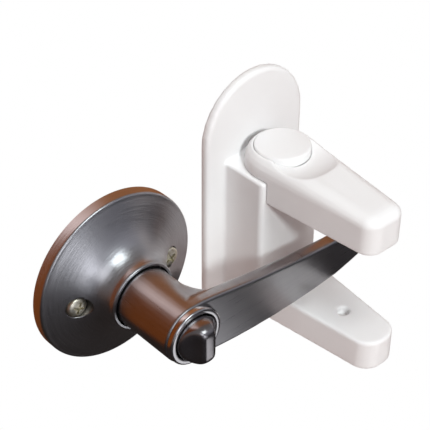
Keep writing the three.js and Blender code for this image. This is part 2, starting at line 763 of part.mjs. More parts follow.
const column = loft([
  columnRing(0, PRONG_BOTTOM),
  ...quarter(3).map(({ rise, inset }) =>
    columnRing(inset * columnRound, COLUMN_TOP - columnRound + rise * columnRound),
  ),
]);
const prongCircles = [
  [PRONG_EDGE - PRONG_ROOT_WIDTH / 2, COLUMN_FRONT - PRONG_CORNER, PRONG_EDGE],
  [PRONG_ROOT_WIDTH / 2 - PRONG_EDGE, COLUMN_FRONT - PRONG_CORNER, PRONG_EDGE],
  [PRONG_TIP_WIDTH / 2 - PRONG_CORNER, PRONG_TIP - PRONG_CORNER, PRONG_CORNER],
  [PRONG_CORNER - PRONG_TIP_WIDTH / 2, PRONG_TIP - PRONG_CORNER, PRONG_CORNER],
];
const prongFloor = (out) => PRONG_BOTTOM + (PRONG_RISE * Math.max(0, out)) / PRONG_TIP;
const prongRing = (inset, height) => level(hull(prongCircles, inset), (point) => height(point.y));
const prong = loft([
  prongRing(PRONG_EDGE / 2, prongFloor),
  prongRing(0, (out) => prongFloor(out) + PRONG_EDGE / 2),
  ...quarter(3).map(({ rise, inset }) =>
    prongRing(inset * PRONG_DRAW, () => PRONG_TOP - PRONG_EDGE + rise * PRONG_EDGE),
  ),
]);
const cavityHalf = halfColumn - BODY_WALL;
const cavityLow = PRONG_BOTTOM + BODY_WALL;
const columnCavity = block(
  [-cavityHalf, cavityHalf],
  [0, COLUMN_FRONT - BODY_WALL],
  [cavityLow, CAVITY_TOP],
);
const hollowCircles = [
  [-PRONG_ROOT_WIDTH / 2 + PRONG_CORNER, COLUMN_FRONT - 2 * PRONG_CORNER, PRONG_CORNER],
  [PRONG_ROOT_WIDTH / 2 - PRONG_CORNER, COLUMN_FRONT - 2 * PRONG_CORNER, PRONG_CORNER],
  prongCircles[2],
  prongCircles[3],
];
const hollowRing = (height) => level(hull(hollowCircles, BODY_WALL), (point) => height(point.y));
const prongHollow = loft([
  hollowRing((out) => prongFloor(out) + BODY_WALL),
  hollowRing(() => PRONG_TOP - BODY_WALL),
]);
const backCircles = [
  [BACK_CORNER - BACK_WIDTH / 2, BACK_BOTTOM + BACK_CORNER, BACK_CORNER],
  [BACK_WIDTH / 2 - BACK_CORNER, BACK_BOTTOM + BACK_CORNER, BACK_CORNER],
  [BACK_WIDTH / 2 - BACK_CORNER, BACK_TOP - BACK_CORNER, BACK_CORNER],
  [BACK_CORNER - BACK_WIDTH / 2, BACK_TOP - BACK_CORNER, BACK_CORNER],
];
const backSlab = (inset, near, far) =>
  loft([near, far].map((out) => facing(hull(backCircles, inset, 4), out)));
const backEnd = PAD_THICK + BACK_THICK;
// The plate is scooped out round the pivot for the arm's round end.
const armReach = ARM_TIP - PIVOT_OUT;
const pocketRise = POCKET_TOP - COLUMN_TOP;
const plateGap = PIVOT_OUT - PLATE_FRONT;
const pocket = upright(
  [
    [0, COLUMN_TOP],
    ...quarter(6).map(({ rise, inset }) => [
      POCKET_RADIUS - inset * (POCKET_RADIUS - plateGap + 1),
      COLUMN_TOP + rise * pocketRise,
    ]),
    [0, POCKET_TOP],
  ],
  FINE,
).translate(0, -PIVOT_OUT, 0);
const floorLow = COLUMN_TOP + SLIDE;
const floorTop = floorLow + ARM_FLOOR;
const postTop = floorTop + SLIDE;
const keyTip = COLUMN_TOP - KEY_REACH;
const slotDeep = keyTip - BUTTON_TRAVEL - SLIDE;
const catchLow = slotDeep - CATCH_FLOOR;
const keyMiddle = KEY_RADIUS - KEY_THICK / 2;
const keyHalfAngle = Math.asin((KEY_WIDTH / 2 + SLIDE) / keyMiddle);
// Angles in the level plane from +X. The key starts towards the door and swings to the left.
const slotFrom = Math.PI / 2 - keyHalfAngle;
const slotTo = Math.PI / 2 + ARM_SWING + keyHalfAngle;
const catchSector = (grow) => {
  const sector = new THREE.Shape();
  sector.absarc(0, 0, CATCH_OUTER + grow, slotFrom - CATCH_MARGIN, slotTo + CATCH_MARGIN, false);
  sector.absarc(0, 0, CATCH_INNER - grow, slotTo + CATCH_MARGIN, slotFrom - CATCH_MARGIN, true);
  return sector;
};
const keySlot = new THREE.Path();
keySlot.absarc(0, 0, KEY_RADIUS + SLIDE, slotFrom, slotTo, false);
keySlot.absarc(0, 0, KEY_RADIUS - KEY_THICK - SLIDE, slotTo, slotFrom, true);
const sectorSolid = (shape, low, high) => {
  const settings = { depth: high - low, bevelEnabled: false, curveSegments: ARC };
  return solidOf(new THREE.ExtrudeGeometry(shape, settings).translate(0, -PIVOT_OUT, low));
};
const pilot = barUp(PIVOT_SCREW_RADIUS + PRESS, PIVOT_SCREW_TIP - 1, postTop + 1, COARSE, 0, -PIVOT_OUT);
let lockBody = plate
  .add(column)
  .add(prong)
  .subtract(columnCavity)
  .subtract(prongHollow)
  .subtract(backSlab(-SLIDE, 0, backEnd + PRESS))
  .subtract(pocket)
  .subtract(sectorSolid(catchSector(PRESS), catchLow - PRESS, COLUMN_TOP + 1))
  .add(barUp(POST_RADIUS, CAVITY_TOP + 1, postTop, MEDIUM, 0, -PIVOT_OUT))
  .subtract(pilot)
  .subtract(barUp(DIMPLE_RADIUS, PRONG_TOP - DIMPLE_DEPTH, PRONG_TOP + 1, MEDIUM, 0, -DIMPLE_OUT));
const tapperSpots = sides.flatMap((side) => [TAPPER_HIGH, TAPPER_LOW].map((z) => [side * TAPPER_SPREAD, z]));
const tapperLow = PAD_THICK + PRESS;
const tapperTip = tapperLow + TAPPER_LENGTH;
for (const [x, z] of tapperSpots) {
  const boss = barOut(TAPPER_BOSS, backEnd + 2 * PRESS, COLUMN_FRONT - BODY_WALL / 2, COARSE, x, z);
  lockBody = lockBody.add(boss).subtract(barOut(TAPPER_RADIUS + PRESS, 0, tapperTip + 1, COARSE, x, z));
}
addPiece(lock, "lock_body", lockBody, white);

// Back plate with its four countersunk screws.
let backPlate = backSlab(0, PAD_THICK, backEnd);
const tapperHeads = tapperSpots.map(([x, z]) => {
  const cone = (grow) =>
    turned(
      [
        [0, tapperLow - grow],
        [TAPPER_HEAD + grow, tapperLow - grow],
        [TAPPER_RADIUS + grow, tapperLow + TAPPER_SINK],
        [0, tapperLow + TAPPER_SINK],
      ],
      COARSE,
    ).translate(x, 0, z);
  const hole = barOut(TAPPER_RADIUS + PRESS, 0, backEnd + 1, COARSE, x, z);
  backPlate = backPlate.subtract(cone(PRESS)).subtract(hole);
  return cone(0).add(barOut(TAPPER_RADIUS, tapperLow + PRESS, tapperTip, COARSE, x, z));
});
addPiece(lock, "back_plate", backPlate, white);
tapperHeads.forEach((screw, i) => addPiece(lock, `back_plate_screw_${i + 1}`, screw, zinc));

// Adhesive pads: foam tape between the lock and the door.
for (const [name, pad] of [
  ["adhesive_pad_upper", UPPER_PAD],
  ["adhesive_pad_lower", LOWER_PAD],
]) {
  const corner = PAD_CORNER - pad.width / 2;
  const circles = [
    [corner, pad.low + PAD_CORNER, PAD_CORNER],
    [-corner, pad.low + PAD_CORNER, PAD_CORNER],
    [-corner, pad.high - PAD_CORNER, PAD_CORNER],
    [corner, pad.high - PAD_CORNER, PAD_CORNER],
  ];
  const slab = loft([0, PAD_THICK].map((out) => facing(hull(circles, 0, 4), out)));
  addPiece(lock, name, slab, foam);
}

// Catch plate: the curved track in the column's top that the button's key runs in.
const catchBody = sectorSolid(catchSector(0), catchLow, COLUMN_TOP);
const catchTrack = sectorSolid(new THREE.Shape(keySlot.getPoints(ARC)), slotDeep, COLUMN_TOP + 1);
addPiece(lock, "catch_plate", catchBody.subtract(catchTrack), steel);

// Pivot washer and screw: they hold the arm down on the column's post.
const washerLow = postTop + PRESS;
const washerTop = washerLow + WASHER_THICK;
const headLow = washerTop + PRESS;
const headTop = headLow + PIVOT_HEAD_THICK;
addPiece(
  lock,
  "pivot_washer",
  barUp(WASHER_RADIUS, washerLow, washerTop, MEDIUM, 0, -PIVOT_OUT).subtract(
    barUp(PIVOT_SCREW_RADIUS + SLIDE, washerLow - 1, washerTop + 1, COARSE, 0, -PIVOT_OUT),
  ),
  steel,
);
const driverSlot = block(
  [-PIVOT_HEAD_RADIUS, PIVOT_HEAD_RADIUS],
  [PIVOT_OUT - PIVOT_SLOT / 2, PIVOT_OUT + PIVOT_SLOT / 2],
  [headTop - PIVOT_SLOT_DEPTH, headTop + 1],
);
addPiece(
  lock,
  "pivot_screw",
  barUp(PIVOT_HEAD_RADIUS, headLow, headTop, MEDIUM, 0, -PIVOT_OUT)
    .add(barUp(PIVOT_SCREW_RADIUS, PIVOT_SCREW_TIP, headLow + PRESS, COARSE, 0, -PIVOT_OUT))
    .subtract(driverSlot),
  zinc,
);

// Swinging arm, drawn about its pivot: round end, crowned top that falls to the tip, hollow below.
const armCircles = [
  [0, 0, ARM_REAR_RADIUS],
  [ARM_TIP_WIDTH / 2 - ARM_CORNER, armReach - ARM_CORNER, ARM_CORNER],
  [ARM_CORNER - ARM_TIP_WIDTH / 2, armReach - ARM_CORNER, ARM_CORNER],
];
const crest = (out) => ARM_TOP - (ARM_DROP * Math.max(0, out)) / armReach;
const armRing = (inset, share, drop) =>
  level(hull(armCircles, inset, 2 * ARC), (point) =>
    THREE.MathUtils.lerp(ARM_SHOULDER, crest(point.y) - drop, share),
  );
const flatRing = (inset, height) => level(hull(armCircles, inset, 2 * ARC), () => height);
const armCrown = (wall, drop, steps) =>
  quarter(steps).map(({ rise, inset }) => armRing(wall + inset * (ARM_CROWN - wall), rise, drop));
const headSeat = COLUMN_FRONT + SLIDE - PIVOT_OUT;
const cornerAside = halfColumn - COLUMN_EDGE;
const cornerAhead = COLUMN_FRONT - PIVOT_OUT - COLUMN_EDGE;
const sideClear = Math.hypot(cornerAside, cornerAhead) + COLUMN_EDGE + SLIDE;
const sweep = 2 * ARM_REAR_RADIUS;
const beakBack = sideClear + ARM_WALL;
const ribSpots = ARM_RIB_SHARES.map((share) => share * armReach);
let armHollow = loft([flatRing(ARM_WALL, ARM_BOTTOM - 1), ...armCrown(ARM_WALL, ARM_ROOF, 2)]).intersect(
  block([-sweep, sweep], [beakBack, armReach], [0, ARM_TOP]),
);
for (const out of ribSpots) {
  armHollow = armHollow.subtract(
    block([-sweep, sweep], [out, out + ARM_RIB], [ARM_BOTTOM + 2 * ARM_WALL, ARM_TOP]),
  );
}
const scoop = solidOf(
  new THREE.SphereGeometry(1, MEDIUM, COARSE)
    .rotateX(Math.PI / 2)
    .scale(SCOOP_WIDTH / 2, SCOOP_LENGTH / 2, SCOOP_DEPTH)
    .translate(0, PIVOT_OUT - SCOOP_OUT, SCOOP_LIFT),
);
const wellRadius = BUTTON_RADIUS + SLIDE;
const keyNear = Math.sqrt((KEY_RADIUS - KEY_THICK) ** 2 - (KEY_WIDTH / 2) ** 2) - SLIDE;
const keySide = KEY_WIDTH / 2 + SLIDE;
const armSkirt = [flatRing(ARM_EDGE, ARM_BOTTOM), flatRing(0, ARM_BOTTOM + ARM_EDGE)];
const swingArm = loft([...armSkirt, ...armCrown(0, 0, 5)])
  .subtract(block([-sweep, sweep], [-sweep, headSeat], [0, floorLow]))
  .subtract(block([ARM_WALL - ARM_REAR_RADIUS, sweep], [0, sideClear], [0, floorLow]))
  .subtract(armHollow)
  .subtract(scoop)
  .subtract(barUp(wellRadius, floorTop, ARM_TOP + 1, FINE))
  .subtract(barUp(POST_RADIUS + SLIDE, 0, floorTop + 1, MEDIUM))
  .subtract(block([-keySide, keySide], [-KEY_RADIUS - SLIDE, -keyNear], [0, floorTop + 1]));
addPiece(arm, "swing_arm", swingArm, white);

// Release button: a crowned cup in the arm's round end.
const buttonLow = floorTop + BUTTON_TRAVEL + SLIDE;
const buttonRoof = BUTTON_TOP - BUTTON_WALL;
const cupRadius = BUTTON_RADIUS - BUTTON_WALL;
addPiece(
  arm,
  "release_button",
  upright(
    [
      [0, buttonRoof],
      [cupRadius, buttonRoof],
      [cupRadius, buttonLow],
      [BUTTON_RADIUS, buttonLow],
      ...quarter(4).map(({ rise, inset }) => [
        BUTTON_RADIUS - inset * BUTTON_EDGE,
        BUTTON_TOP - BUTTON_CROWN + (rise - 1) * BUTTON_EDGE,
      ]),
      [BUTTON_RADIUS / 2, BUTTON_TOP - BUTTON_CROWN / 4],
      [0, BUTTON_TOP],
    ],
    FINE,
  ),
  white,
);

// Latch key: a ring under the button's roof with a leg down through the arm's floor.
const keyRoof = buttonRoof - PRESS;
const keyRing = barUp(KEY_RADIUS, keyRoof - KEY_RING, keyRoof, MEDIUM).subtract(
  barUp(KEY_RADIUS - KEY_THICK, keyRoof - KEY_RING - 1, keyRoof + 1, MEDIUM),
);
const keyBand = barUp(KEY_RADIUS, keyTip, keyRoof, MEDIUM).subtract(
  barUp(KEY_RADIUS - KEY_THICK, keyTip - 1, keyRoof + 1, MEDIUM),
);
const keyLeg = keyBand.intersect(block([-KEY_WIDTH / 2, KEY_WIDTH / 2], [-KEY_RADIUS, 0], [keyTip, keyRoof]));
addPiece(arm, "latch_key", keyRing.add(keyLeg), steel);

// Button spring: a short coil between the washer and the button's roof.
const coilFrom = washerTop + SLIDE + BUTTON_WIRE / 2;
const coilTo = buttonRoof - SLIDE - BUTTON_WIRE / 2;
const buttonSteps = CURL_STEPS * BUTTON_TURNS;
const buttonPoints = Array.from({ length: buttonSteps + 1 }, (_, k) => {
  const angle = (2 * Math.PI * BUTTON_TURNS * k) / buttonSteps;
  const height = THREE.MathUtils.lerp(coilFrom, coilTo, k / buttonSteps);
  return new THREE.Vector3(BUTTON_COIL * Math.cos(angle), BUTTON_COIL * Math.sin(angle), height);
});
const buttonSpring = wireOf(buttonPoints, BUTTON_WIRE, buttonSteps);
printLeastGap("button_spring", buttonSpring.curve, BUTTON_WIRE, 2 * Math.PI * BUTTON_COIL);
addPiece(arm, "button_spring", buttonSpring.solid, steel);

export default part;
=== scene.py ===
from math import asin, cos, hypot, pi, radians, sin
import bpy
from mathutils import Matrix, Quaternion, Vector


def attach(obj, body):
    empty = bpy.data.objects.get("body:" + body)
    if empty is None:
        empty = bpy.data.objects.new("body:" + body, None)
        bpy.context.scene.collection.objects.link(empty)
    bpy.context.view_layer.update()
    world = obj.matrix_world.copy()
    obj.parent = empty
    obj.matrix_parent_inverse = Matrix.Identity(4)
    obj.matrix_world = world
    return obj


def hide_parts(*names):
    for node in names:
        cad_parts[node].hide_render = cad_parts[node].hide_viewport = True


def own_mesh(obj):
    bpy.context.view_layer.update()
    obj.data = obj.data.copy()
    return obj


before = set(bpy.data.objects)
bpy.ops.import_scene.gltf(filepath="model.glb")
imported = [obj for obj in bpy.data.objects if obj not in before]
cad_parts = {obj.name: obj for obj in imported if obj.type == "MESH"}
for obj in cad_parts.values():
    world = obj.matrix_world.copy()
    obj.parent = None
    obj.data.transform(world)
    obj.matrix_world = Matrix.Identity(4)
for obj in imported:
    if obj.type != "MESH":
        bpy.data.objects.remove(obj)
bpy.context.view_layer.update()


# The view: the handle and its lock seen from the left, above the lever's hub, with a long lens.
# The camera's place and turn are those from which the rose, lever and lock line up as photographed.
MM = 0.001
YAW, PITCH, ROLL = radians(42.231), radians(37.176), radians(0.4)
VIEW_PLACE = Vector((-210.3, -286.7, 293.1)) * MM
SENSOR_WIDTH = 36
PICTURE_PIXELS = 430
FOCAL_PIXELS = 1300
ahead = Vector((sin(YAW) * cos(PITCH), cos(YAW) * cos(PITCH), -sin(PITCH)))
aside = Vector((cos(YAW), -sin(YAW), 0))
upward = Vector((sin(YAW) * sin(PITCH), cos(YAW) * sin(PITCH), cos(PITCH)))
level_right = aside * cos(ROLL) + upward * sin(ROLL)
level_up = upward * cos(ROLL) - aside * sin(ROLL)
camera = bpy.data.objects.new("view_camera", bpy.data.cameras.new("view_camera"))
camera.matrix_world = Matrix((level_right, level_up, -ahead)).transposed().to_4x4()
camera.location = VIEW_PLACE
camera.data.sensor_width = SENSOR_WIDTH
camera.data.lens = FOCAL_PIXELS / PICTURE_PIXELS * SENSOR_WIDTH
camera.data.clip_start = 0.01
bpy.context.collection.objects.link(camera)
bpy.context.scene.camera = camera


# Rose cover: a spun brass shell, plated in satin nickel and brushed round its axis.
# It sweeps up from a short rim into the collar round the lever's hub, and a drawn cup
# leads to each mounting screw.
ROSE_RADIUS = 33
ROSE_WALL = 1.2
RIM_STRAIGHT = 3.5
RIM_INSIDE = 3.2
RIM_TOP = 4.6
RIM_ROUND = 1.1
SWEEP_LOW = (24.1, 7.4)
SWEEP_HIGH = (15.4, 9.2)
COLLAR_RADIUS = 13.3
COLLAR_STRAIGHT = 17.2
COLLAR_ROUND = 0.5
COLLAR_END = 18.8
CUP_RADIUS = 4.1
CUP_LOW = 5.7
CUP_EDGE = 0.35
ABOVE_DOME = 16
SCREW_SPREAD = 20.5
OUT = Vector((0, -1, 0))
RIGHT = Vector((1, 0, 0))
UP = Vector((0, 0, 1))
CREASE = radians(32)


def bezier(start, first, second, end, steps):
    """Points along a curve from start to end, without the start."""
    points = []
    for k in range(1, steps + 1):
        t = k / steps
        weights = ((1 - t) ** 3, 3 * t * (1 - t) ** 2, 3 * t * t * (1 - t), t ** 3)
        handles = (start, first, second, end)
        points.append(tuple(sum(w * h[i] for w, h in zip(weights, handles)) for i in (0, 1)))
    return points


def drawn_in(profile, distance):
    """A profile moved to its left by a wall's thickness."""
    moved = []
    for i, (x, y) in enumerate(profile):
        before, after = profile[max(i - 1, 0)], profile[min(i + 1, len(profile) - 1)]
        along = Vector((after[0] - before[0], after[1] - before[1])).normalized()
        moved.append((x - along.y * distance, y + along.x * distance))
    return moved


def turned(name, profile, foot=Vector(), axis=OUT, across=RIGHT, steps=128):
    """A profile of (radius, height) pairs in millimetres, drawn point by point and spun about an axis."""
    spots = [foot + (across * radius + axis * height) * MM for radius, height in profile]
    bpy.ops.object.select_all(action="DESELECT")
    bpy.ops.mesh.primitive_plane_add(size=MM, location=spots[0])
    bpy.ops.object.mode_set(mode="EDIT")
    bpy.ops.mesh.select_mode(type="VERT")
    bpy.ops.mesh.select_all(action="SELECT")
    bpy.ops.mesh.merge(type="CENTER")
    for here, there in zip(spots, spots[1:]):
        bpy.ops.mesh.extrude_region_move(TRANSFORM_OT_translate={"value": there - here})
    bpy.ops.mesh.select_all(action="SELECT")
    bpy.ops.mesh.spin(steps=steps, angle=2 * pi, center=foot, axis=axis)
    bpy.ops.mesh.select_all(action="SELECT")
    bpy.ops.mesh.remove_doubles(threshold=0.002 * MM)
    bpy.ops.mesh.normals_make_consistent(inside=False)
    bpy.ops.object.mode_set(mode="OBJECT")
    piece = bpy.context.object
    piece.name = piece.data.name = name
    bpy.ops.object.transform_apply(location=True, rotation=True, scale=True)
    bpy.ops.object.shade_smooth_by_angle(angle=CREASE)
    return piece


def pick(piece):
    """Makes a piece the only one that the next tools work on."""
    bpy.ops.object.select_all(action="DESELECT")
    bpy.context.view_layer.objects.active = piece
    piece.select_set(True)


def carve(piece, tool, operation="DIFFERENCE"):
    """Cuts or joins a piece with another solid, which is then thrown away."""
    cut = piece.modifiers.new("cut", "BOOLEAN")
    cut.operation, cut.object, cut.solver = operation, tool, "EXACT"
    pick(piece)
    bpy.ops.object.modifier_apply(modifier="cut")
    bpy.data.objects.remove(tool)
    bpy.ops.object.mode_set(mode="EDIT")
    bpy.ops.mesh.select_all(action="SELECT")
    bpy.ops.mesh.remove_doubles(threshold=0.02 * MM)
    bpy.ops.mesh.dissolve_degenerate(threshold=0.01 * MM)
    bpy.ops.object.mode_set(mode="OBJECT")


rim = [(ROSE_RADIUS, 0.0), (ROSE_RADIUS, RIM_STRAIGHT)]
rim += bezier(rim[-1], (ROSE_RADIUS, 4.2), (ROSE_RADIUS - 0.4, RIM_TOP), (ROSE_RADIUS - RIM_ROUND, RIM_TOP), 6)
dome = bezier(rim[-1], SWEEP_LOW, SWEEP_HIGH, (COLLAR_RADIUS, COLLAR_STRAIGHT), 26)
collar_end = (COLLAR_RADIUS - COLLAR_ROUND, COLLAR_END)
dome += bezier(dome[-1], (COLLAR_RADIUS, 17.7), (COLLAR_RADIUS, 18.4), collar_end, 5)


def under_skin(depth):
    """The rose's section at a depth below its skin, from the door to the collar's end."""
    inner_rim = [(ROSE_RADIUS - depth, 0.0), (ROSE_RADIUS - depth, RIM_INSIDE)]
    return inner_rim + drawn_in(dome, depth)[:-4] + [(COLLAR_RADIUS - depth, COLLAR_END)]


rose = turned("rose_shell", rim + dome + under_skin(ROSE_WALL)[::-1] + rim[:1])
for side in (-1, 1):
    spot = RIGHT * side * SCREW_SPREAD * MM
    reach = CUP_RADIUS + ROSE_WALL
    cup = turned("cup", [(0, CUP_LOW), (reach, CUP_LOW), (reach, ABOVE_DOME), (0, ABOVE_DOME)], spot, steps=64)
    core = turned("dome_core", [(0, 0)] + under_skin(ROSE_WALL / 2) + [(0, COLLAR_END)])
    carve(cup, core, "INTERSECT")
    carve(rose, cup, "UNION")
    carve(rose, turned("hole", [(0, -1), (CUP_RADIUS, -1), (CUP_RADIUS, 20), (0, 20)], spot, steps=64))


def dome_height(radius):
    """How far out of the door the rose's skin stands at a radius."""
    for (r1, h1), (r2, h2) in zip(dome, dome[1:]):
        if r2 <= radius <= r1:
            return h1 + (h2 - h1) * (r1 - radius) / max(r1 - r2, 1e-6)
    return 0.0


def select_edges(piece, chosen):
    """Selects the edges of a piece, in edit mode, whose two ends are both chosen."""
    pick(piece)
    bpy.ops.object.mode_set(mode="EDIT")
    bpy.ops.mesh.select_mode(type="EDGE")
    bpy.ops.mesh.select_all(action="DESELECT")
    bpy.ops.object.mode_set(mode="OBJECT")
    picked = [chosen(vertex.co / MM) for vertex in piece.data.vertices]
    for edge in piece.data.edges:
        edge.select = all(picked[i] for i in edge.vertices)
    bpy.ops.object.mode_set(mode="EDIT")


def on_cup_rim(spot):
    """Whether a point lies where a cup meets the rose's skin."""
    beside = hypot(abs(spot.x) - SCREW_SPREAD, spot.z)
    above_skin = -spot.y - dome_height(hypot(spot.x, spot.z))
    return abs(beside - CUP_RADIUS) < 0.03 and abs(above_skin) < 0.06


select_edges(rose, on_cup_rim)
bpy.ops.mesh.bevel(offset=CUP_EDGE * MM, segments=3, affect="EDGES")
bpy.ops.object.mode_set(mode="OBJECT")
bpy.ops.object.shade_smooth_by_angle(angle=CREASE)


class Value:
    """A shader socket that takes part in Python sums."""

    def __init__(self, tree, socket):
        self.tree, self.socket = tree, socket

    def math(self, operation, left, right):
        node = self.tree.nodes.new("ShaderNodeMath")
        node.operation = operation
        for slot, item in zip(node.inputs, (left, right)):
            if isinstance(item, Value):
                self.tree.links.new(item.socket, slot)
            else:
                slot.default_value = item
        return Value(self.tree, node.outputs[0])

    def __add__(self, other):
        return self.math("ADD", self, other)

    def __radd__(self, other):
        return self.math("ADD", other, self)

    def __sub__(self, other):
        return self.math("SUBTRACT", self, other)

    def __rsub__(self, other):
        return self.math("SUBTRACT", other, self)

    def __mul__(self, other):
        return self.math("MULTIPLY", self, other)

    def __pow__(self, other):
        return self.math("POWER", self, other)


class Finish:
    """A material for one kind of surface, built from nodes."""

    def __init__(self, name, **fixed):
        self.material = bpy.data.materials.new(name)
        self.material.use_nodes = True
        self.tree = self.material.node_tree
        self.shader = self.tree.nodes["Principled BSDF"]
        for socket, value in fixed.items():
            self.shader.inputs[socket.replace("_", " ")].default_value = value

    def node(self, kind, settings=None, inputs=None, output=0):
        node = self.tree.nodes.new("ShaderNode" + kind)
        for name, value in (settings or {}).items():
            if name == "stops":
                ramp = node.color_ramp.elements
                while len(ramp) < len(value):
                    ramp.new(1.0)
                for element, (place, colour) in zip(ramp, value):
                    element.position, element.color = place, (*colour, 1)
            else:
                setattr(node, name, value)
        for name, value in (inputs or {}).items():
            if isinstance(value, Value):
                self.tree.links.new(value.socket, node.inputs[name])
            else:
                node.inputs[name].default_value = value
        return Value(self.tree, node.outputs[output])

    def feed(self, name, value):
        self.tree.links.new(value.socket, self.shader.inputs[name])

    def place(self):
        return self.node("TexCoord", output="Object")

    def parts(self, vector):
        split = self.tree.nodes.new("ShaderNodeSeparateXYZ")
        self.tree.links.new(vector.socket, split.inputs[0])
        return [Value(self.tree, out) for out in split.outputs]

    def joined(self, x, y, z):
        return self.node("CombineXYZ", None, {"X": x, "Y": y, "Z": z})

    def noise(self, vector, scale, detail=3.0, roughness=0.55):
        inputs = {"Vector": vector, "Scale": scale, "Detail": detail, "Roughness": roughness}
        return self.node("TexNoise", None, inputs)

    def tint(self, amount, stops):
        return self.node("ValToRGB", {"stops": stops}, {"Fac": amount})

    def bump(self, height, strength, distance):
        return self.node("Bump", None, {"Height": height, "Strength": strength, "Distance": distance * MM})


def dress(mesh, finish):
    """Gives a mesh one finish all over."""
    mesh.materials.clear()
    mesh.materials.append(finish.material)


# Satin nickel brushed round the lever's axis: fine rings with a few stray strokes across them.
CUP_PAINTED_SHADE = (0.3, 0.295, 0.29)
DULL_NICKEL = (0.36, 0.36, 0.38)
CLEAR_NICKEL = (0.54, 0.535, 0.545)
spun_nickel = Finish("spun_satin_nickel", Metallic=1.0)
x, y, z = spun_nickel.parts(spun_nickel.place())
ring = (x * x + z * z) ** 0.5
turn = spun_nickel.node("Math", {"operation": "ARCTAN2"}, {0: z, 1: x})
grain = spun_nickel.noise(spun_nickel.joined(ring * 1100, turn * 2.2, y * 1100), 1.0, 4.0, 0.7)
strokes = spun_nickel.noise(spun_nickel.joined(turn * 60, ring * 90, y * 200), 1.0, 2.0)
cloud = spun_nickel.noise(spun_nickel.place(), 60.0)
# Inside the drawn cups round the screws the nickel is painted darker: painted shade in these recesses.
beside = spun_nickel.node("Math", {"operation": "ABSOLUTE"}, {0: x}) - SCREW_SPREAD * MM
cup_reach = ((CUP_RADIUS + 0.15) * MM) ** 2
cup_painted_shade = spun_nickel.node("Math", {"operation": "LESS_THAN"}, {0: beside * beside + z * z, 1: cup_reach})
shade = (0.25 + grain * 0.25 + cloud * 0.25) * (1 - cup_painted_shade)
nickel_stops = [(0.0, CUP_PAINTED_SHADE), (0.25, DULL_NICKEL), (0.75, CLEAR_NICKEL)]
spun_nickel.feed("Base Color", spun_nickel.tint(shade, nickel_stops))
spun_nickel.feed("Roughness", 0.25 + grain * 0.06 + strokes * 0.02)
spun_nickel.feed("Normal", spun_nickel.bump(grain + strokes * 0.1, 0.5, 0.15))
dress(rose.data, spun_nickel)
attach(rose, "fixed")
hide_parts("rose_cover")


# Mounting screws: yellow zinc plated machine screws with pan heads and a cross recess.
# They stand in the rose's cups and run back through the door.
HEAD_LOW = 5.5
HEAD_TOP = 9.2
HEAD_EDGE = HEAD_TOP - 1.4
HEAD_RADIUS = 3.85
SHANK_RADIUS = 2.0
SHANK_END = -12
SHANK_POINT = 0.4
RECESS_ARM = (4.4, 2.8, 0.95)
RECESS_MIDDLE = HEAD_TOP + 0.1
YELLOW_ZINC = (0.62, 0.57, 0.42)
PALE_ZINC = (0.78, 0.75, 0.64)
GREY_ZINC = (0.66, 0.66, 0.6)
yellow_zinc = Finish("yellow_zinc", Metallic=1.0)
patches = yellow_zinc.noise(yellow_zinc.place(), 700.0)
zinc_stops = [(0.3, YELLOW_ZINC), (0.6, PALE_ZINC), (0.8, GREY_ZINC)]
yellow_zinc.feed("Base Color", yellow_zinc.tint(patches, zinc_stops))
yellow_zinc.feed("Roughness", 0.3 + patches * 0.15)
yellow_zinc.feed("Normal", yellow_zinc.bump(yellow_zinc.noise(yellow_zinc.place(), 2500.0), 0.15, 0.05))
screw_profile = [(0, SHANK_END), (SHANK_RADIUS - SHANK_POINT, SHANK_END), (SHANK_RADIUS, SHANK_END + SHANK_POINT)]
screw_profile += [(SHANK_RADIUS, HEAD_LOW), (HEAD_RADIUS, HEAD_LOW), (HEAD_RADIUS, HEAD_EDGE)]
head_handles = (HEAD_RADIUS, HEAD_TOP - 0.5), (HEAD_RADIUS - 1.0, HEAD_TOP)
screw_profile += bezier(screw_profile[-1], *head_handles, (0, HEAD_TOP), 8)
for side, name, tilt in ((-1, "left", 25), (1, "right", 62)):
    spot = RIGHT * side * SCREW_SPREAD * MM
    screw = turned("mounting_screw_" + name + "_turned", screw_profile, spot, steps=48)
    for quarter in (0, 90):
        bpy.ops.object.select_all(action="DESELECT")
        recess_place = spot + OUT * RECESS_MIDDLE * MM
        recess_turn = (0, radians(tilt + quarter), 0)
        bpy.ops.mesh.primitive_cube_add(size=MM, location=recess_place, rotation=recess_turn, scale=RECESS_ARM)
        carve(screw, bpy.context.object)
    bpy.ops.object.shade_smooth_by_angle(angle=CREASE)
    dress(screw.data, yellow_zinc)
    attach(screw, "fixed")
    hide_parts("mounting_screw_" + name)


# Inside the rose and the hub: a pressed steel insert, a nylon bush on the lever's neck, and the small steel
# pieces that hold the lever, turn the latch and lock it. None of it shows, except from behind.
plain_steel = Finish("plain_steel", Metallic=1.0)
rolling = plain_steel.node("Mapping", None, {"Vector": plain_steel.place(), "Scale": (900, 900, 90)})
rolled = plain_steel.noise(rolling, 1.0)
plain_steel.feed("Base Color", plain_steel.tint(rolled, [(0.3, (0.5, 0.49, 0.47)), (0.7, (0.66, 0.65, 0.62))]))
plain_steel.feed("Roughness", 0.3 + rolled * 0.2)
plain_steel.feed("Normal", plain_steel.bump(rolled, 0.12, 0.05))
natural_nylon = Finish("natural_nylon", Subsurface_Weight=0.1, Subsurface_Scale=0.002)
flow = natural_nylon.noise(natural_nylon.place(), 240.0)
natural_nylon.feed("Base Color", natural_nylon.tint(flow, [(0.3, (0.74, 0.73, 0.68)), (0.7, (0.84, 0.83, 0.79))]))
natural_nylon.feed("Roughness", 0.45 + flow * 0.15)


def coat(node, finish):
    """Gives a piece carried over as it is one finish all over."""
    dress(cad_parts[node].data, finish)


for node in ("rose_insert", "drive_cam", "lever_set_screw", "retaining_ring"):
    coat(node, plain_steel)
for node in ("drive_spindle", "turn_clip", "locking_bar"):
    coat(node, plain_steel)
coat("neck_bush", natural_nylon)


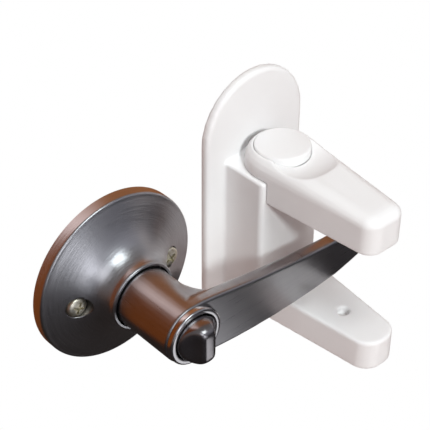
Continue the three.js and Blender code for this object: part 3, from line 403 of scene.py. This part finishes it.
# Lever return spring: a torsion coil of round steel wire with two straight legs, round the insert's boss.
# The legs bow out to leave the cam's tab room to swing, and close on the insert's lug.
WIRE = 1.1
COIL_RADIUS = 11.54
COIL_LOW = 2.65
COIL_HIGH = 7.6
COIL_TURNS = 3
COIL_STEPS = COIL_TURNS * 40
LEG_ASIDE = 2.05
LEG_BOW = 4.3
BOW_NEAR = -13.7
BOW_FAR = -15.3
LEG_REACH = -16.1


def wire(name, points, diameter):
    """Round steel wire bent along points given in millimetres."""
    path = bpy.data.curves.new(name, "CURVE")
    path.dimensions, path.use_fill_caps = "3D", True
    path.bevel_depth, path.bevel_resolution = diameter / 2 * MM, 3
    line = path.splines.new("POLY")
    line.points.add(len(points) - 1)
    for knot, point in zip(line.points, points):
        knot.co = (*(Vector(point) * MM), 1)
    piece = bpy.data.objects.new(name, path)
    bpy.context.collection.objects.link(piece)
    pick(piece)
    bpy.ops.object.convert(target="MESH")
    bpy.ops.object.mode_set(mode="EDIT")
    bpy.ops.mesh.select_all(action="SELECT")
    bpy.ops.mesh.remove_doubles(threshold=0.002 * MM)
    bpy.ops.mesh.normals_make_consistent(inside=False)
    bpy.ops.object.mode_set(mode="OBJECT")
    bpy.ops.object.shade_smooth_by_angle(angle=radians(50))
    piece = bpy.context.object
    dress(piece.data, plain_steel)
    return piece


def spring_leg(side, height):
    """A leg's points from the coil out to its end."""
    bends = ((LEG_BOW, BOW_NEAR), (LEG_ASIDE, BOW_FAR), (LEG_ASIDE, LEG_REACH))
    return [(side * beside, -height, down) for beside, down in bends]


half_gap = asin(LEG_BOW / COIL_RADIUS)
coil_points = spring_leg(-1, COIL_LOW)[::-1]
for k in range(COIL_STEPS + 1):
    swept = k / COIL_STEPS
    turn = -pi / 2 - half_gap - (2 * pi * COIL_TURNS - 2 * half_gap) * swept
    height = COIL_LOW + (COIL_HIGH - COIL_LOW) * swept
    coil_points.append((COIL_RADIUS * cos(turn), -height, COIL_RADIUS * sin(turn)))
coil_points += spring_leg(1, COIL_HIGH)
coil = wire("return_spring_wire", coil_points, WIRE)
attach(coil, "fixed")
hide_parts("lever_return_spring")


# Lever handle: one zinc casting, plated in satin nickel, of a round hub and a bar that droops to the right.
# The back of the bar sweeps into the hub, and its front is flat with a fine chamfer.
LEVER_GRAIN = 0.4
LEVER_ROUNDS = 8
DARK_BRUSHED = (0.32, 0.315, 0.33)
LIGHT_BRUSHED = (0.42, 0.41, 0.415)


def softened(name, node, grain, rounds, eased=None, tool=None, operation="DIFFERENCE"):
    """A piece drawn from its solid and cut or filled with a tool, with its edges eased as in casting or moulding.

    Its mesh is remade at a grain in millimetres and smoothed in rounds, where eased says so of a point.
    """
    piece = bpy.data.objects.new(name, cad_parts[node].data.copy())
    piece.data.name = name
    bpy.context.collection.objects.link(piece)
    pick(piece)
    bpy.ops.object.mode_set(mode="EDIT")
    bpy.ops.mesh.select_all(action="SELECT")
    bpy.ops.mesh.remove_doubles(threshold=0.001 * MM)
    bpy.ops.object.mode_set(mode="OBJECT")
    if tool:
        carve(piece, tool, operation)
    even = piece.modifiers.new("even", "REMESH")
    even.mode, even.voxel_size = "VOXEL", grain * MM
    bpy.ops.object.modifier_apply(modifier="even")
    ease = piece.modifiers.new("ease", "SMOOTH")
    ease.factor, ease.iterations = 0.5, rounds
    if eased:
        picked = [vertex.index for vertex in piece.data.vertices if eased(vertex.co / MM)]
        piece.vertex_groups.new(name="eased").add(picked, 1.0, "REPLACE")
        ease.vertex_group = "eased"
    bpy.ops.object.modifier_apply(modifier="ease")
    bpy.ops.object.shade_smooth()
    return piece


lever = softened("lever_casting", "lever_handle", LEVER_GRAIN, LEVER_ROUNDS)
brushed_nickel = Finish("brushed_satin_nickel", Metallic=1.0)
x, y, z = brushed_nickel.parts(brushed_nickel.place())
grain = brushed_nickel.noise(brushed_nickel.joined(x * 40, y * 60, z * 2200), 1.0, 4.0, 0.7)
cloud = brushed_nickel.noise(brushed_nickel.place(), 45.0)
brushed_tint = brushed_nickel.tint(grain * 0.5 + cloud * 0.5, [(0.3, DARK_BRUSHED), (0.7, LIGHT_BRUSHED)])
brushed_nickel.feed("Base Color", brushed_tint)
brushed_nickel.feed("Roughness", 0.24 + grain * 0.1)
brushed_nickel.feed("Normal", brushed_nickel.bump(grain, 0.025, 0.05))
dress(lever.data, brushed_nickel)
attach(lever, "lever")
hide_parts("lever_handle")


# Hub bezel: a turned ring, polished brighter than the lever, pressed into the end of the hub.
# It frames the thumb turn.
BEZEL_BORE = 8.8
BEZEL_SEAT = 9.5
BEZEL_RADIUS = 11.0
BEZEL_FOOT = 40.3
HUB_FACE = 44.3
BEZEL_SIDE = 45.5
BEZEL_FACE = 46.4
FACE_OUTER, FACE_INNER = (10.2, BEZEL_FACE), (9.2, BEZEL_FACE)
BORE_TOP = (BEZEL_BORE, 46.0)
bright_nickel = Finish("bright_nickel", Metallic=1.0)
x, y, z = bright_nickel.parts(bright_nickel.place())
fine = bright_nickel.noise(bright_nickel.joined((x * x + z * z) ** 0.5 * 3000, y * 3000, 0.0), 1.0)
bright_nickel.feed("Base Color", bright_nickel.tint(fine, [(0.3, (0.47, 0.465, 0.475)), (0.7, (0.53, 0.52, 0.525))]))
bright_nickel.feed("Roughness", 0.16 + fine * 0.05)
bezel_profile = [(BEZEL_BORE, BEZEL_FOOT), (BEZEL_SEAT, BEZEL_FOOT), (BEZEL_SEAT, HUB_FACE)]
bezel_profile += [(BEZEL_RADIUS, HUB_FACE), (BEZEL_RADIUS, BEZEL_SIDE)]
bezel_profile += bezier(bezel_profile[-1], (BEZEL_RADIUS, 46.0), (10.7, BEZEL_FACE), FACE_OUTER, 5) + [FACE_INNER]
bezel_profile += bezier(FACE_INNER, (9.0, BEZEL_FACE), (BEZEL_BORE, 46.2), BORE_TOP, 3) + [(BEZEL_BORE, BEZEL_FOOT)]
bezel = turned("bezel_ring", bezel_profile)
dress(bezel.data, bright_nickel)
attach(bezel, "lever")
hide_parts("hub_bezel")


# Thumb turn: a small round knob in dark nickel, hollowed on both sides into an upright ridge for finger and thumb.
# Its stem runs through the hub and turns the locking bar.
KNOB_GRAIN = 0.3
KNOB_ROUNDS = 120
KNOB_NECK = 44


def on_knob_head(spot):
    """Whether a point of the thumb turn lies outside the hub, where fingers reach it."""
    return -spot.y > KNOB_NECK


turn_knob = softened("thumb_turn_knob", "thumb_turn", KNOB_GRAIN, KNOB_ROUNDS, on_knob_head)
dark_nickel = Finish("dark_nickel", Metallic=1.0)
x, y, z = dark_nickel.parts(dark_nickel.place())
fine = dark_nickel.noise(dark_nickel.joined(x * 2500, y * 2500, z * 90), 1.0)
worn = dark_nickel.noise(dark_nickel.place(), 160.0)
dark_nickel.feed("Base Color", dark_nickel.tint(worn, [(0.3, (0.28, 0.268, 0.275)), (0.7, (0.34, 0.325, 0.335))]))
dark_nickel.feed("Roughness", 0.18 + fine * 0.05 + worn * 0.06)
dark_nickel.feed("Normal", dark_nickel.bump(fine, 0.006, 0.05))
dress(turn_knob.data, dark_nickel)
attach(turn_knob, "turn")
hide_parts("thumb_turn")


# Lock body: the plate, the column and the prong under the lever in one white plastic moulding.
# Its edges are soft and its surface has the faint even texture of a spark-eroded mould. A plug of
# plastic closes the small hole in the prong's top a little way down.
LOCK_MIDDLE = 65.8
BODY_GRAIN = 0.6
BODY_ROUNDS = 2
PLUG_OUT = 52.8
PLUG_LOW = -27.1
PLUG_RADIUS = 2.9
PLUG_THICK = 1.1
white_plastic = Finish("white_plastic", IOR=1.5)
speckle = white_plastic.noise(white_plastic.place(), 2600.0, 2.0)
drift = white_plastic.noise(white_plastic.place(), 35.0)
white_plastic.feed("Base Color", white_plastic.tint(drift, [(0.3, (0.84, 0.82, 0.82)), (0.7, (0.87, 0.86, 0.86))]))
white_plastic.feed("Roughness", 0.36 + speckle * 0.16)
white_plastic.feed("Normal", white_plastic.bump(speckle, 0.06, 0.04))
plug_foot = Vector((LOCK_MIDDLE, -PLUG_OUT, PLUG_LOW)) * MM
plug_profile = [(0, 0), (PLUG_RADIUS, 0), (PLUG_RADIUS, PLUG_THICK), (0, PLUG_THICK)]
plug = turned("plug", plug_profile, plug_foot, UP, RIGHT, 48)
body = softened("lock_moulding", "lock_body", BODY_GRAIN, BODY_ROUNDS, tool=plug, operation="UNION")
dress(body.data, white_plastic)
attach(body, "fixed")
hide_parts("lock_body")


# Back plate: a flat plastic cover screwed over the hollow of the lock, with four countersunk screws.
# Two pads of foam tape hold the lock to the door.
coat("back_plate", white_plastic)
for number in (1, 2, 3, 4):
    coat(f"back_plate_screw_{number}", yellow_zinc)
foam_tape = Finish("foam_tape", Roughness=0.9)
cells = foam_tape.node("TexVoronoi", None, {"Vector": foam_tape.place(), "Scale": 1800.0})
foam_tape.feed("Base Color", foam_tape.tint(cells, [(0.1, (0.62, 0.62, 0.61)), (0.6, (0.8, 0.8, 0.79))]))
foam_tape.feed("Normal", foam_tape.bump(cells, 0.4, 0.15))
for node in ("adhesive_pad_upper", "adhesive_pad_lower"):
    coat(node, foam_tape)


# Catch plate, pivot washer and screw: the steel parts that hold the arm down on the column.
# The button's key runs in the catch plate's curved track.
coat("catch_plate", plain_steel)
coat("pivot_washer", plain_steel)
coat("pivot_screw", yellow_zinc)


# Swinging arm: a white moulding with a round end, a crowned top that falls towards the tip and a finger scoop
# that runs out at both edges. It turns on the column and closes over the lever.
PIVOT_OUT = 18.1
PIVOT = Vector((LOCK_MIDDLE, -PIVOT_OUT, 0)) * MM
ARM_GRAIN = 0.4
ARM_ROUNDS = 5
WELL_LIP = 29.4
WELL_REACH = 11.6
SCOOP_BEYOND = 12.2
SCOOP_HEIGHT = 37
SCOOP_HALVES = (17.5, 13.2, 6.6)


def off_well(spot):
    """Whether a point of the arm lies clear of the well that the button and its key run in."""
    return spot.z > WELL_LIP or hypot(spot.x - LOCK_MIDDLE, spot.y + PIVOT_OUT) > WELL_REACH


bpy.ops.mesh.primitive_uv_sphere_add(
    segments=96,
    ring_count=48,
    radius=MM,
    location=PIVOT + (OUT * SCOOP_BEYOND + UP * SCOOP_HEIGHT) * MM,
    scale=SCOOP_HALVES,
)
scoop = bpy.context.object
swing = softened("arm_moulding", "swing_arm", ARM_GRAIN, ARM_ROUNDS, off_well, scoop)
dress(swing.data, white_plastic)
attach(swing, "arm")
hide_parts("swing_arm")


# Release button: a round white cap in the arm's end, a little crowned, pressed to free the arm.
# The key below it is bent from steel strip, and a short coil spring lifts both.
CAP_BORE = 8.8
CAP_RADIUS = 10.36
CAP_ROUND = 0.36
CAP_LOW = 30.0
CAP_ROOF = 33.0
CAP_SIDE = 32.9
CAP_SHOULDER = (9.3, 33.95)
CAP_TOP = 34.4
LIFT_RADIUS = 5.5
LIFT_LOW = 28.8
LIFT_RISE = 3.6
LIFT_TURNS = 2.5
LIFT_STEPS = 100
LIFT_WIRE = 0.6
cap_profile = [(0, CAP_ROOF), (CAP_BORE, CAP_ROOF), (CAP_BORE, CAP_LOW), (CAP_RADIUS - CAP_ROUND, CAP_LOW)]
cap_profile += [(CAP_RADIUS, CAP_LOW + CAP_ROUND), (CAP_RADIUS, CAP_SIDE)]
cap_profile += bezier(cap_profile[-1], (CAP_RADIUS, 33.5), (10.1, 33.9), CAP_SHOULDER, 6)
cap_profile += bezier(CAP_SHOULDER, (6.5, 34.2), (3.5, CAP_TOP), (0, CAP_TOP), 8)
cap = turned("button_cap", cap_profile, PIVOT, UP, RIGHT, 96)
dress(cap.data, white_plastic)
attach(cap, "button")
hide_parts("release_button")
coat("latch_key", plain_steel)
lift_points = []
for k in range(LIFT_STEPS + 1):
    swept = k / LIFT_STEPS
    turn = 2 * pi * LIFT_TURNS * swept
    beside, out = LIFT_RADIUS * cos(turn), LIFT_RADIUS * sin(turn)
    lift_points.append((LOCK_MIDDLE + beside, out - PIVOT_OUT, LIFT_LOW + LIFT_RISE * swept))
lift = wire("button_spring_wire", lift_points, LIFT_WIRE)
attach(lift, "arm")
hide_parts("button_spring")
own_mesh(lift)


# Studio: a pale, warm floor well below the part, and lamps above the room side, overhead and at the left front,
# of which the small one at the left front throws the lever's and the arm's shadows on the lock.
# Cards that only the plated metal mirrors stand for its surroundings: a dark floor, warm wood and the room.
FLOOR_SIZE = 8
FLOOR_HEIGHT = -0.45
WARM_FLOOR = (0.9, 0.76, 0.72, 1)
WARM_AIR = (1, 0.74, 0.7, 1)
AIR_STRENGTH = 0.26
PLAIN_WHITE = (1, 1, 1, 1)
BLACK = (0, 0, 0, 1)
DEEP_BROWN = (0.27, 0.07, 0.012)
COOL_WHITE = (0.9, 0.99, 1)


def show_white(tree, lighting, white, output):
    """Joins what lights the part with the plain white that is seen, and mirrored, in its place."""
    rays = tree.nodes.new("ShaderNodeLightPath")
    straight = ("Is Camera Ray", "Is Glossy Ray", "Is Transmission Ray")
    seen = sum(Value(tree, rays.outputs[kind]) for kind in straight)
    mix = tree.nodes.new("ShaderNodeMixShader")
    for socket, slot in zip((seen.socket, lighting, white), mix.inputs):
        tree.links.new(socket, slot)
    tree.links.new(mix.outputs[0], tree.nodes[output].inputs[0])


bpy.ops.object.select_all(action="DESELECT")
bpy.ops.mesh.primitive_plane_add(size=FLOOR_SIZE, location=(0, 0, FLOOR_HEIGHT))
floor = bpy.context.object
floor.name = "floor"
pale = Finish("pale_floor", Roughness=0.9)
pale.shader.inputs["Base Color"].default_value = WARM_FLOOR
glow = pale.tree.nodes.new("ShaderNodeEmission")
glow.inputs["Color"].default_value = PLAIN_WHITE
show_white(pale.tree, pale.shader.outputs[0], glow.outputs[0], "Material Output")
dress(floor.data, pale)


def card(name, size, location, towards, stops, along=1, corners=4, roll=0):
    """A flat card, in metres, that shows only in what mirrors it, shaded across it or from its foot to its head."""
    bpy.ops.object.select_all(action="DESELECT")
    if corners == 4:
        bpy.ops.mesh.primitive_plane_add(size=1, location=location)
    else:
        bpy.ops.mesh.primitive_circle_add(vertices=corners, radius=0.5, fill_type="NGON", location=location)
    board = bpy.context.object
    board.name = name
    board.scale = (*size, 1)
    facing = (Vector(towards) - Vector(location)).to_track_quat("Z", "Y")
    board.rotation_euler = (facing @ Quaternion((0, 0, 1), radians(roll))).to_euler()
    finish = Finish(name, Roughness=1.0, Specular_IOR_Level=0.0, Emission_Strength=1.0)
    finish.shader.inputs["Base Color"].default_value = BLACK
    share = finish.parts(finish.place())[along] + 0.5
    finish.feed("Emission Color", finish.tint(share, stops))
    dress(board.data, finish)
    board.visible_camera = board.visible_shadow = board.visible_diffuse = False


card(
    "room_floor_card", (1.8, 1.3), (0.3, -0.5, -0.14), (0.3, -0.5, 1),
    [(0.14, (0.03, 0.024, 0.022)), (0.3, (0.05, 0.046, 0.05)), (1, (0.08, 0.08, 0.09))],
)
card(
    "far_floor_card", (0.64, 0.72), (-0.14, -0.78, -0.137), (-0.14, -0.78, 1),
    [(0, (0.3, 0.3, 0.32)), (0.3, (1.0, 1.02, 1.08)), (1, (1.1, 1.12, 1.2))],
)
card(
    "floor_light_card", (0.08, 0.14), (0.08, -0.19, -0.138), (0.08, -0.19, 1),
    [(0.0, (0.3, 0.3, 0.31)), (0.35, (1.3, 1.3, 1.34)), (1.0, (0.9, 0.9, 0.93))], along=0,
)
card(
    "lower_door_card", (1.8, 0.8), (0, 0.1, -0.42), (0, -1, -0.42),
    [(0, DEEP_BROWN), (1, DEEP_BROWN)],
)
card(
    "upper_door_card", (1.8, 0.8), (0, 0.1, 0.38), (0, -1, 0.38),
    [(0.438, DEEP_BROWN), (0.462, (1.6, 1.3, 1.24)), (0.535, (0.45, 0.18, 0.07))], along=0,
)
card(
    "back_card", (0.063, 0.063), (0, 0.0015, 0), (0, -1, 0),
    [(0.2, (0.25, 0.25, 0.26)), (0.6, (0.8, 0.8, 0.8)), (0.9, (0.4, 0.4, 0.41))], along=0, corners=64,
)
card(
    "lock_back_card", (0.047, 0.094), (0.0658, 0.0015, 0.0103), (0.0658, -1, 0.0103),
    [(0.2, (0.5, 0.5, 0.5)), (0.8, (0.8, 0.8, 0.8))],
)
card(
    "ceiling_card", (4, 4), (0, -0.4, 1.4), (0, -0.4, 0),
    [(0, (0.3, 0.29, 0.3)), (1, (0.2, 0.18, 0.17))],
)
card(
    "room_card", (5, 2.6), (0, -1.5, 0.1), (0, 0, 0.1),
    [(0.3, (0.14, 0.14, 0.16)), (0.7, (0.4, 0.4, 0.45))],
)
card(
    "window_card", (0.45, 0.75), (0.1, -1.1, 0.12), (0.1, 0, 0.12),
    [(0.05, (0.12, 0.12, 0.14)), (0.5, (0.7, 0.71, 0.77)), (0.95, (0.12, 0.12, 0.14))], along=0,
)
card(
    "left_window_card", (0.75, 0.26), (-0.12, -1.05, -0.07), (0, 0, 0),
    [(0.0, (1.4, 1.43, 1.52)), (0.5, (2.4, 2.44, 2.6)), (1.0, (1.6, 1.63, 1.74))], along=0, roll=39.6,
)
card(
    "left_wall_card", (3, 3), (-1.6, -0.2, 0), (0, -0.2, 0),
    [(0.3, (0.1, 0.05, 0.03)), (0.7, (0.22, 0.2, 0.2))],
)
card(
    "right_wall_card", (3, 3), (1.7, -0.2, 0), (0, -0.2, 0),
    [(0.3, (0.2, 0.19, 0.2)), (0.7, (0.35, 0.34, 0.36))],
)


def lamp(name, location, towards, size, watts, colour, mirrored):
    """A square soft lamp turned towards a point, which metal mirrors or not."""
    data = bpy.data.lights.new(name, "AREA")
    data.size, data.energy, data.color = size, watts, colour
    light = bpy.data.objects.new(name, data)
    light.location = location
    light.rotation_euler = (Vector(towards) - Vector(location)).to_track_quat("-Z", "Y").to_euler()
    light.visible_camera = False
    light.visible_glossy = mirrored
    bpy.context.collection.objects.link(light)


lamp("key_lamp", (0.04, -1.05, 1.12), (0.04, -0.03, 0), 0.7, 6.5, COOL_WHITE, True)
lamp("front_lamp", (-0.42, -1.13, 0.82), (0.05, -0.02, 0), 0.15, 9.4, COOL_WHITE, False)
lamp("top_lamp", (0.0, -0.45, 1.35), (0.05, -0.04, 0), 0.5, 6.2, COOL_WHITE, False)
lamp("left_lamp", (-0.52, -0.85, 0.42), (0, 0, 0), 0.5, 1.0, (0.95, 0.97, 1), True)
world = bpy.data.worlds.new("studio")
bpy.context.scene.world = world
world.use_nodes = True
ambient = world.node_tree.nodes["Background"]
ambient.inputs["Color"].default_value = WARM_AIR
ambient.inputs["Strength"].default_value = AIR_STRENGTH
backdrop = world.node_tree.nodes.new("ShaderNodeBackground")
backdrop.inputs["Color"].default_value = PLAIN_WHITE
show_white(world.node_tree, ambient.outputs[0], backdrop.outputs[0], "World Output")
bpy.context.scene.view_settings.view_transform = "Standard"
